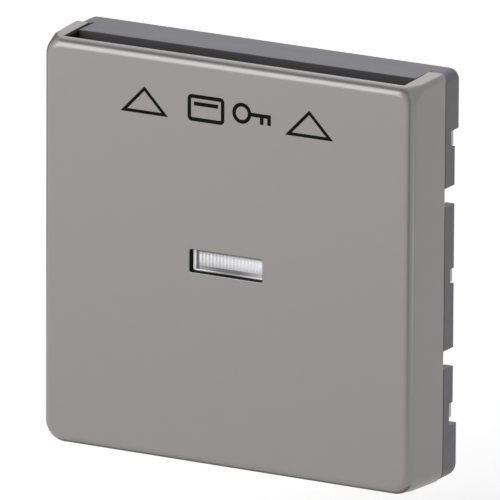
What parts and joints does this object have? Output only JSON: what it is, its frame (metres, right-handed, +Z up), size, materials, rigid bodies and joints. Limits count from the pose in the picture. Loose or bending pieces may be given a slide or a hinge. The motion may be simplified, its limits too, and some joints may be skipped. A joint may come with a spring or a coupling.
{
  "type": "hotel key card switch",
  "caption": "Square wall-mounted energy-saving switch with an open-topped card slot, a glowing window, and a sprung card lever that works an enclosed snap switch.",
  "frame": {"origin": "middle of the wall screws' pattern, in the wall plane", "axes": "+X to the viewer's right, +Y into the wall, +Z up; the front faces -Y"},
  "size_m": [0.071, 0.0158, 0.071],
  "materials": {
    "cover_lacquer": "satin champagne grey lacquer on moulded plastic",
    "carrier_plastic": "fine-grained dark grey plastic",
    "plate_plastic": "white glass-filled plastic",
    "clear_plastic": "clear polycarbonate",
    "gasket_rubber": "black elastomer",
    "lever_plastic": "natural acetal",
    "steel": "zinc-plated steel",
    "brass": "bare brass",
    "board_laminate": "glass-epoxy laminate",
    "switch_case": "black phenolic",
    "plunger_plastic": "red acetal",
    "contact_silver": "silver alloy",
    "lamp_body": "frosted lamp epoxy",
    "resistor_body": "beige coating",
    "diode_body": "black epoxy",
    "block_plastic": "grey polyamide"
  },
  "bodies": {
    "housing": {"front_cover": "cover_lacquer", "window_lens": "clear_plastic", "lens_gasket": "gasket_rubber", "carrier": "carrier_plastic", "mounting_plate": "plate_plastic", "lever_pin": "steel", "lever_spring": "steel", "circuit_board": "board_laminate", "board_screws": "steel", "switch_base": "switch_case", "switch_cover": "switch_case", "common_terminal": "brass", "fixed_contact": "contact_silver", "lamp": "lamp_body", "light_guide": "clear_plastic", "lamp_resistor": "resistor_body", "lamp_diode": "diode_body", "terminal_block": "block_plastic", "terminal_clamps": "brass", "terminal_screws": "steel"},
    "lever": {"card_lever": "lever_plastic"},
    "plunger": {"switch_plunger": "plunger_plastic"},
    "blade": {"contact_blade": "brass", "blade_contact": "contact_silver"}
  },
  "joints": [
    {"name": "lever_pivot", "type": "hinge", "parent": "housing", "child": "lever", "pos_m": [0, -0.0062, -0.007], "axis": [1, 0, 0], "range_deg": [0, 8], "stiffness_Nm_per_rad": 0.002, "springref_deg": -17.19, "deforming": ["lever_spring"]},
    {"name": "plunger_slide", "type": "slide", "parent": "housing", "child": "plunger", "axis": [0, 1, 0], "range_m": [0, 0.00062]},
    {"name": "blade_flex", "type": "hinge", "parent": "housing", "child": "blade", "pos_m": [-0.008, -0.00408, -0.0184], "axis": [1, 0, 0], "range_deg": [-4.9, 0]}
  ],
  "couplings": [
    {"joint": "plunger_slide", "follows": "lever_pivot", "m_per_rad": 0.0042},
    {"joint": "blade_flex", "follows": "lever_pivot", "ratio": -0.575}
  ]
}
